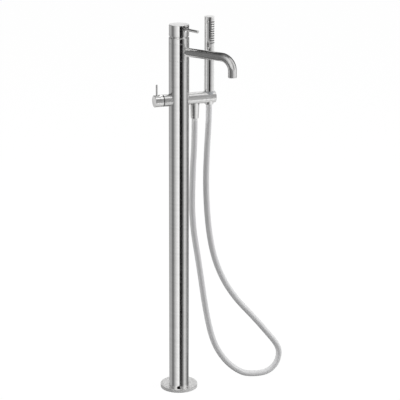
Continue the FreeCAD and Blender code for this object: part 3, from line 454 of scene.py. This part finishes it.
def handlingGroup():
    # faint wiping marks, and here and there the rings of dried water spots
    group, inputs, outputs = newGroup(
        "handling", [("Position", "Vector", None), ("Spot size", "Float", 0.004)],
        [("Smear", "Float"), ("Spots", "Float")])
    smear = noise(group, inputs["Position"], Scale=14.0, Detail=4.0, Roughness=0.55, Distortion=0.6)
    perMetre = calculate(group, "DIVIDE", 1.0, inputs["Spot size"])
    fromMiddle = feed(group, addNode(group, "TexVoronoi", feature="F1"), Vector=inputs["Position"],
                      Scale=perMetre, Randomness=1.0).outputs["Distance"]
    ring = calculate(group, "MULTIPLY", spread(group, fromMiddle, low=0.12, high=0.2),
                     spread(group, fromMiddle, low=0.3, high=0.22))
    hereAndThere = spread(group, noise(group, inputs["Position"], Scale=30.0, Detail=1.0),
                          low=0.55, high=0.68)
    group.links.new(spread(group, smear, low=0.35, high=0.75), outputs["Smear"])
    group.links.new(calculate(group, "MULTIPLY", ring, hereAndThere), outputs["Spots"])
    return group


def speckleGroup():
    # cast, moulded or blasted skin: small bumps over a slow unevenness
    group, inputs, outputs = newGroup(
        "speckle", [("Position", "Vector", None), ("Grain size", "Float", 0.0004)],
        [("Height", "Float"), ("Tone", "Float")])
    perMetre = calculate(group, "DIVIDE", 1.0, inputs["Grain size"])
    grain = noise(group, inputs["Position"], Scale=perMetre, Detail=2.0, Roughness=0.7)
    slow = noise(group, inputs["Position"], Scale=45.0, Detail=3.0)
    group.links.new(grain, outputs["Height"])
    group.links.new(spread(group, slow, low=0.3, high=0.7), outputs["Tone"])
    return group


turnedLines = turnedLinesGroup()
softEdge = softEdgeGroup()
handling = handlingGroup()
speckle = speckleGroup()


def startMaterial(name):
    material, tree = newMaterial(name)
    shader = addNode(tree, "BsdfPrincipled")
    tree.links.new(shader.outputs[0], addNode(tree, "OutputMaterial").inputs["Surface"])
    return material, tree, shader, addNode(tree, "TexCoord").outputs["Object"]


def tint(colour, share):
    return tuple(min(1.0, part * share) for part in colour) + (1.0,)


def uneven(tree, mask, colour, shift):
    # a colour that gets a little darker and lighter with the mask
    return mixColour(tree, mask, tint(colour, 1 - shift), tint(colour, 1 + shift))


# Steel finishes. "axis" is the turning axis: the lines go round it.
columnLook = {
    "colour": (0.655, 0.652, 0.648), "toneShift": 0.03, "roughness": 0.1,
    "axis": (0, 0, 1), "tangentAxis": "Z", "anisotropic": 0.7,
    "linesPerMetre": 2600.0, "wander": 9.0, "lineStrength": 0.08, "lineDepth": 0.000008,
    # rub: edges brighter in patches, partly wear and partly a painted edge highlight
    "lineRoughness": 0.02, "smear": 0.02, "edgeRadius": 0.0004, "rub": 0.6, "rubAndHighlightTone": 1.25,
    "spots": 0.12, "spotSize": 0.0045, "spotTone": 0.8, "spotRoughness": 0.02,
}
barLook = dict(columnLook, axis=(1, 0, 0), tangentAxis="X", roughness=0.2, anisotropic=0.4)
# painted shade: the bar's steel made darker, standing in for the shade on the stub
stubPaintedShadeLook = dict(barLook, colour=(0.54, 0.538, 0.535))
# shadeTone: the tone of the knob's painted shade
knobLook = dict(barLook, roughness=0.16, shadeTone=0.8)
# shadeTone: the tone of the cap's painted shade
capLook = dict(columnLook, shadeTone=0.3)
spoutLook = dict(columnLook, anisotropic=0.0, roughness=0.11, lineRoughness=0.03)
plateLook = dict(columnLook, anisotropic=0.0, roughness=0.3, linesPerMetre=1900.0, toneShift=0.06,
                 lineStrength=0.25, lineRoughness=0.05)
handsetLook = dict(columnLook, roughness=0.07, anisotropic=0.5)
nutLook = dict(columnLook, roughness=0.09, anisotropic=0.3, linesPerMetre=3400.0, smear=0.05)
leverLook = dict(columnLook, anisotropic=0.0, roughness=0.2)
screwLook = dict(leverLook, roughness=0.3, linesPerMetre=1800.0)


def steelFinish(name, look, runs=None, shade=None):
    # brushed or turned stainless steel; runs gives the distance along a bent piece, and shade a mask of
    # painted shade
    material, tree, shader, position = startMaterial(name)
    distance = runs(tree, position) if runs else along(tree, position, look["axis"])
    lines = useGroup(tree, turnedLines, Along=distance, Position=position,
                     Lines_per_metre=look["linesPerMetre"], Wander=look["wander"])
    edge = useGroup(tree, softEdge, Radius=look["edgeRadius"], Position=position)
    marks = useGroup(tree, handling, Position=position, Spot_size=look["spotSize"])
    bump = feed(tree, addNode(tree, "Bump"), Height=lines["Height"], Normal=edge["Normal"],
                Strength=look["lineStrength"], Distance=look["lineDepth"])
    colour = uneven(tree, lines["Tone"], look["colour"], look["toneShift"])
    # edges brighter in patches: partly wear, partly a painted edge highlight
    colour = stain(tree, colour, edge["RubbedAndHighlit"], look["rub"], tint(look["colour"], look["rubAndHighlightTone"]))
    colour = stain(tree, colour, marks["Spots"], look["spots"], tint(look["colour"], look["spotTone"]))
    # painted shade: where the mask is bright, the colour darkens to shadeTone
    if shade:
        colour = mixColour(tree, shade(tree, position), colour, tint(look["colour"], look["shadeTone"]))
    rough = raiseBy(tree, look["roughness"], (marks["Smear"], look["smear"]),
                    (lines["Height"], look["lineRoughness"]), (marks["Spots"], look["spotRoughness"]))
    feed(tree, shader, Metallic=1.0, Anisotropic=look["anisotropic"], Base_Color=colour, Roughness=rough,
         Normal=bump.outputs["Normal"])
    if look["anisotropic"] > 0:
        tangent = addNode(tree, "Tangent", direction_type="RADIAL", axis=look["tangentAxis"])
        feed(tree, shader, Tangent=tangent.outputs[0], Anisotropic_Rotation=0.25)   # a quarter turn
    return material


# The spout's run: straight out from the column, then a bend down, in metres and degrees
spoutPath = {"heading": -57.0, "straight": 0.126, "radius": 0.031, "bendHeight": 0.848}


def pointing(degrees):
    return (math.cos(math.radians(degrees)), math.sin(math.radians(degrees)), 0)


def spoutRun(tree, position):
    # distance along the spout: out along the straight, round the bend, then down
    straight = spoutPath["straight"]
    leastPast = 0.0001   # the bend's angle needs a length over 0
    out = along(tree, position, pointing(spoutPath["heading"]))
    above = calculate(tree, "SUBTRACT", along(tree, position, (0, 0, 1)), spoutPath["bendHeight"])
    past = calculate(tree, "MAXIMUM", calculate(tree, "SUBTRACT", out, straight), leastPast)
    angle = calculate(tree, "ARCTAN2", past, calculate(tree, "MAXIMUM", above, 0.0))
    drop = calculate(tree, "MAXIMUM", calculate(tree, "MULTIPLY", above, -1.0), 0.0)
    beyond = calculate(tree, "MULTIPLY_ADD", angle, spoutPath["radius"], drop)
    return calculate(tree, "MULTIPLY_ADD", beyond, calculate(tree, "GREATER_THAN", out, straight),
                     calculate(tree, "MINIMUM", out, straight))


def plateRun(tree, position):
    # distance out from the column, so that the lines on the plate's top are rings
    flat = vectorMath(tree, "MULTIPLY", position, (1, 1, 0))["Vector"]
    out = feed(tree, addNode(tree, "VectorMath", operation="LENGTH"), Vector=flat).outputs["Value"]
    return calculate(tree, "ADD", out, along(tree, position, (0, 0, 1)))


# The knob's painted shade: a dark triangle beside its lever, down to the knob's axis, and a darker lower
# sector of the end face
knobShadeLook = {
    "leverX": -0.058, "top": 0.774, "face": -0.0648,
    "reach": 0.0033, "slope": 0.78, "edge": 0.0012, "depth": 0.0145, "depthEdge": 0.002,
    "faceEdge": (0.0001, 0.0004), "sectorEdge": (0.0005, 0.006), "sectorShare": 0.75,
}


def knobShade(tree, position):
    # painted shade: darker beside the lever's recess, and darker on the lower sector of the turned end
    # face
    look = knobShadeLook
    place = splitVector(tree, position)
    drop = calculate(tree, "SUBTRACT", look["top"], place["Z"])
    fromLever = calculate(tree, "SUBTRACT", place["X"], look["leverX"])
    reach = calculate(tree, "MULTIPLY_ADD", drop, look["slope"], look["reach"])
    beside = calculate(
        tree, "MULTIPLY",
        spread(tree, calculate(tree, "SUBTRACT", fromLever, reach), look["edge"], -look["edge"]),
        spread(tree, drop, look["depth"] + look["depthEdge"], look["depth"] - look["depthEdge"]))
    onSide = spread(tree, place["X"], *(look["face"] + edge for edge in look["faceEdge"]))
    lower = calculate(tree, "ADD", place["Y"], calculate(tree, "SUBTRACT", drop, look["depth"]))
    sector = calculate(tree, "MULTIPLY", spread(tree, lower, *look["sectorEdge"]), look["sectorShare"])
    return calculate(tree, "MULTIPLY_ADD", beside, onSide,
                     calculate(tree, "MULTIPLY", sector, calculate(tree, "SUBTRACT", 1.0, onSide)))


# The cap's painted shade: a dark triangle beside its lever, down to "depth" under the top. Its upper side
# climbs by
# "rise" to the top edge, between two angles in degrees from the lever.
capShadeLook = {
    "leverHeading": -72.0, "first": -16.0, "last": 50.0, "rise": 0.0068, "depth": 0.0095,
    "edge": 0.0005, "firstEdge": (-0.04, 0.04), "lastEdge": (0.2, 0.1),   # the last two in radians
}


def capShade(tree, position):
    # painted shade on the side of the lever's recess in the cap: a dark triangle running up to the top
    # edge
    look = capShadeLook
    top = max(corner[2] for corner in frame["nodes"]["mixer_cap"].bound_box)
    first, last = math.radians(look["first"]), math.radians(look["last"])
    turn = calculate(tree, "ARCTAN2", along(tree, position, pointing(look["leverHeading"] + 90)),
                     along(tree, position, pointing(look["leverHeading"])))
    drop = calculate(tree, "SUBTRACT", top, along(tree, position, (0, 0, 1)))
    line = calculate(tree, "MULTIPLY", calculate(tree, "SUBTRACT", last, turn),
                     look["rise"] / (last - first))
    shade = spread(tree, calculate(tree, "SUBTRACT", drop, line), -look["edge"], look["edge"])
    for limit in (spread(tree, drop, look["depth"] + look["edge"], look["depth"] - look["edge"]),
                  spread(tree, turn, *(first + edge for edge in look["firstEdge"])),
                  spread(tree, turn, *(last + edge for edge in look["lastEdge"]))):
        shade = calculate(tree, "MULTIPLY", shade, limit)
    return shade


columnSteel = steelFinish("columnSteel", columnLook)
capSteel = steelFinish("capSteel", capLook, shade=capShade)
barSteel = steelFinish("barSteel", barLook)
stubSteelPaintedShade = steelFinish("stubSteelPaintedShade", stubPaintedShadeLook)
knobSteel = steelFinish("knobSteel", knobLook, shade=knobShade)
spoutSteel = steelFinish("spoutSteel", spoutLook, runs=spoutRun)
plateSteel = steelFinish("plateSteel", plateLook, runs=plateRun)
handsetSteel = steelFinish("handsetSteel", handsetLook)
nutSteel = steelFinish("nutSteel", nutLook)
# painted shade: the lever's steel is darker than the column's, standing in for the darker light it mirrors
capLeverSteelPaintedShade = steelFinish("capLeverSteelPaintedShade", dict(
    leverLook, axis=pointing(capShadeLook["leverHeading"]), colour=(0.48, 0.478, 0.475)))
knobLeverSteel = steelFinish("knobLeverSteel", leverLook)
screwSteel = steelFinish("screwSteel", screwLook)


# Other finishes
castLook = {
    "colour": (0.5, 0.5, 0.5), "toneShift": 0.05, "metallic": 0.0, "roughness": 0.45, "specular": 0.5,
    "grainSize": 0.0005, "grainStrength": 0.3, "grainDepth": 0.00004, "grainRoughness": 0.1,
    # edgeColour and rub: edges lighter in patches, partly wear and partly a painted edge highlight
    "edgeRadius": 0.0003, "edgeColour": (0.6, 0.6, 0.6), "rub": 0.5, "smear": 0.08, "spotSize": 0.005,
}


def castFinish(name, **changes):
    # plain metal, rubber, plastic or ceramic with a moulded, pressed or sintered skin
    look = dict(castLook, **changes)
    material, tree, shader, position = startMaterial(name)
    skin = useGroup(tree, speckle, Position=position, Grain_size=look["grainSize"])
    edge = useGroup(tree, softEdge, Radius=look["edgeRadius"], Position=position)
    marks = useGroup(tree, handling, Position=position, Spot_size=look["spotSize"])
    bump = feed(tree, addNode(tree, "Bump"), Height=skin["Height"], Normal=edge["Normal"],
                Strength=look["grainStrength"], Distance=look["grainDepth"])
    colour = uneven(tree, skin["Tone"], look["colour"], look["toneShift"])
    # edges lighter in patches: partly wear, partly a painted edge highlight
    colour = stain(tree, colour, edge["RubbedAndHighlit"], look["rub"], tint(look["edgeColour"], 1.0))
    rough = raiseBy(tree, look["roughness"], (skin["Height"], look["grainRoughness"]),
                    (marks["Smear"], look["smear"]))
    feed(tree, shader, Metallic=look["metallic"], Specular_IOR_Level=look["specular"], Base_Color=colour,
         Roughness=rough, Normal=bump.outputs["Normal"])
    return material


brassMetal = castFinish("brassMetal", colour=(0.72, 0.52, 0.27), edgeColour=(0.9, 0.72, 0.42),
                        metallic=1.0, roughness=0.3)
blackRubber = castFinish("blackRubber", colour=(0.02, 0.02, 0.021), edgeColour=(0.05, 0.05, 0.05),
                         roughness=0.6)
blackPlastic = castFinish("blackPlastic", colour=(0.012, 0.012, 0.012), edgeColour=(0.03, 0.03, 0.03),
                          roughness=0.42)
plugPlastic = castFinish("plugPlastic", colour=(0.003, 0.003, 0.003), edgeColour=(0.01, 0.01, 0.01),
                         roughness=0.75, specular=0.1)
greyPlastic = castFinish("greyPlastic", colour=(0.36, 0.37, 0.38), edgeColour=(0.5, 0.5, 0.5))
whiteCeramic = castFinish("whiteCeramic", colour=(0.83, 0.82, 0.79), edgeColour=(0.9, 0.9, 0.88),
                          roughness=0.18, grainDepth=0.00001)
nozzleSilicone = castFinish("nozzleSilicone", colour=(0.09, 0.09, 0.092),
                            edgeColour=(0.14, 0.14, 0.14), roughness=0.5)

finishes = {
    columnSteel: ["column_tube", "mixer_body", "cartridge_cover", "spout_sleeve", "upper_slide_ring",
                  "lower_slide_ring"],
    capSteel: ["mixer_cap"],
    barSteel: ["holder_bar"],
    stubSteelPaintedShade: ["valve_stub"],
    knobSteel: ["diverter_knob"],
    spoutSteel: ["spout_tube", "aerator_housing"],
    plateSteel: ["base_cover", "floor_flange", "column_spigot"],
    handsetSteel: ["handset_body", "handset_end_cap"],
    nutSteel: ["outlet_hose_nut", "handset_hose_nut", "outlet_nipple"],
    capLeverSteelPaintedShade: ["mixer_lever"],
    knobLeverSteel: ["diverter_lever"],
    screwSteel: ["column_lock_screw", "knob_set_screw", "cap_set_screw", "spout_limit_screw", "yoke_pin",
                 "cartridge_lever"],
    plugPlastic: ["lock_screw_plug"],
}
# what has no finish above takes the one of its record slot
slotFinishes = {
    "brushed_steel": screwSteel, "brass": brassMetal, "black_rubber": blackRubber,
    "black_plastic": blackPlastic, "grey_plastic": greyPlastic, "white_ceramic": whiteCeramic,
    "hose_cover": greyPlastic, "nozzle_silicone": nozzleSilicone,
}
footPieces = ["base_cover", "lock_screw_plug", "floor_flange", "floor_seal", "column_spigot"]


def assignFinishes():
    chosen = {node: finish for finish, nodes in finishes.items() for node in nodes}
    for part in frame["record"]["subparts"]:
        finish = chosen.get(part["node"], slotFinishes[part["material_slot"]])
        for place in frame["nodes"][part["node"]].material_slots:
            place.material = finish
    for node in footPieces:
        frame["nodes"][node].visible_glossy = False   # keeps their dark rings out of the column's foot


assignFinishes()
print("finishes assigned")


# Shower hose: down from the outlet, round on the floor and up into the handset's nut
hoseLook = {
    "diameter": 0.015, "length": 1.603, "sides": 40, "stepsPerPoint": 18,
    "liftStart": (0.079, 0.0, 0.647), "liftEnd": (0.1104, 0.0, 0.6627),
    "colour": (0.6, 0.6, 0.605), "metallic": 0.15, "roughness": 0.42, "smear": 0.08, "spotSize": 0.004,
    "turnsPerMetre": 420.0, "spiralTones": (0.985, 1.01), "spiralHeight": 0.8,
    "grainSize": 0.0006, "grainTone": 0.94, "grainShare": 0.1, "grainHeight": 0.2,
    "bumpStrength": 0.1, "bumpDepth": 0.00002,
}
hoseRoute = [
    (0.0415, 0.0, 0.707), (0.0415, 0.0, 0.65), (0.0385, 0.006, 0.56), (0.037, 0.006, 0.44),
    (0.057, 0.003, 0.318), (0.073, 0.0, 0.2), (0.092, -0.004, 0.11), (0.126, -0.009, 0.052),
    (0.17, -0.013, 0.015), (0.205, -0.015, 0.0076), (0.2418, -0.016, 0.0076), (0.2667, -0.016, 0.0237),
    (0.2783, -0.014, 0.0499), (0.275, -0.012, 0.0765), (0.2458, -0.009, 0.1146), (0.204, -0.006, 0.166),
    (0.155, -0.004, 0.221), (0.118, -0.003, 0.28), (0.092, -0.002, 0.348), (0.078, -0.001, 0.43),
    (0.072, 0.0, 0.53), (0.0745, 0.0, 0.625), (0.0795, 0.0, 0.7), (0.0795, 0.0, 0.7395),
]


def smoothLine(name, points, steps):
    # points read from a smooth spline through the route
    data = bpy.data.curves.new(name, "CURVE")
    data.dimensions = "3D"
    spline = data.splines.new("NURBS")
    spline.points.add(len(points) - 1)
    for point, place in zip(spline.points, points):
        point.co = (*place, 1.0)
    spline.order_u = 3
    spline.use_endpoint_u = True
    spline.resolution_u = steps
    guide = bpy.data.objects.new(name, data)
    mesh = bpy.data.meshes.new_from_object(guide)
    line = [vertex.co.copy() for vertex in mesh.vertices]
    bpy.data.objects.remove(guide)
    bpy.data.meshes.remove(mesh)
    bpy.data.curves.remove(data)
    return line


def tubeAlong(name, line, radius, sides):
    # rings carried along the line without twist; the UV runs round and along, in metres
    shape = bmesh.new()
    uv = shape.loops.layers.uv.new("hoseRun")
    directions = [(line[min(i + 1, len(line) - 1)] - line[max(i - 1, 0)]).normalized()
                  for i in range(len(line))]
    side = directions[0].orthogonal().normalized()
    rings = []
    travelled = [0.0]
    for index, (place, direction) in enumerate(zip(line, directions)):
        if index:
            side = directions[index - 1].rotation_difference(direction) @ side
            travelled.append(travelled[-1] + (place - line[index - 1]).length)
        across = direction.cross(side).normalized()
        rings.append([shape.verts.new(place + (side * math.cos(turn) + across * math.sin(turn)) * radius)
                      for turn in (2 * math.pi * step / sides for step in range(sides))])
    for index in range(len(rings) - 1):
        for step in range(sides):
            after = (step + 1) % sides
            face = shape.faces.new((rings[index][step], rings[index][after],
                                    rings[index + 1][after], rings[index + 1][step]))
            face.smooth = True
            corners = ((step, index), (step + 1, index), (step + 1, index + 1), (step, index + 1))
            for loop, (turn, ring) in zip(face.loops, corners):
                loop[uv].uv = (turn / sides, travelled[ring])
    shape.faces.new(list(reversed(rings[0])))
    shape.faces.new(rings[-1])
    shape.normal_update()
    mesh = bpy.data.meshes.new(name)
    shape.to_mesh(mesh)
    shape.free()
    made = bpy.data.objects.new(name, mesh)
    scene.collection.objects.link(made)
    return made


def hoseFinish(look):
    # smooth silver cover with its spiral core just showing through
    material, tree, shader, position = startMaterial("silverHoseCover")
    run = splitVector(tree, addNode(tree, "UVMap", uv_map="hoseRun").outputs["UV"])
    turns = calculate(tree, "MULTIPLY_ADD", run["Y"], look["turnsPerMetre"], run["X"])
    spiral = spread(tree, calculate(tree, "SINE", calculate(tree, "MULTIPLY", turns, 2 * math.pi)),
                    low=-1.0, high=1.0)
    skin = useGroup(tree, speckle, Position=position, Grain_size=look["grainSize"])
    marks = useGroup(tree, handling, Position=position, Spot_size=look["spotSize"])
    colour = mixColour(tree, spiral, *(tint(look["colour"], share) for share in look["spiralTones"]))
    colour = stain(tree, colour, skin["Tone"], look["grainShare"], tint(look["colour"], look["grainTone"]))
    height = raiseBy(tree, 0.0, (spiral, look["spiralHeight"]), (skin["Height"], look["grainHeight"]))
    bump = feed(tree, addNode(tree, "Bump"), Height=height, Strength=look["bumpStrength"],
                Distance=look["bumpDepth"])
    rough = raiseBy(tree, look["roughness"], (marks["Smear"], look["smear"]))
    feed(tree, shader, Metallic=look["metallic"], Base_Color=colour, Roughness=rough,
         Normal=bump.outputs["Normal"])
    return material


def makeHose(look, route):
    line = smoothLine("hoseGuide", route, look["stepsPerPoint"])
    hose = tubeAlong("silver_hose", line, look["diameter"] / 2, look["sides"])
    hose.data.materials.append(hoseFinish(look))
    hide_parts("shower_hose")
    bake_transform(hose)
    blockers = bpy.data.collections.new("leftLampBlockers")
    blockers.objects.link(hose)
    leftLamp.light_linking.blocker_collection = blockers   # only the hose casts this lamp's shadow


makeHose(hoseLook, hoseRoute)
print("hose laid")
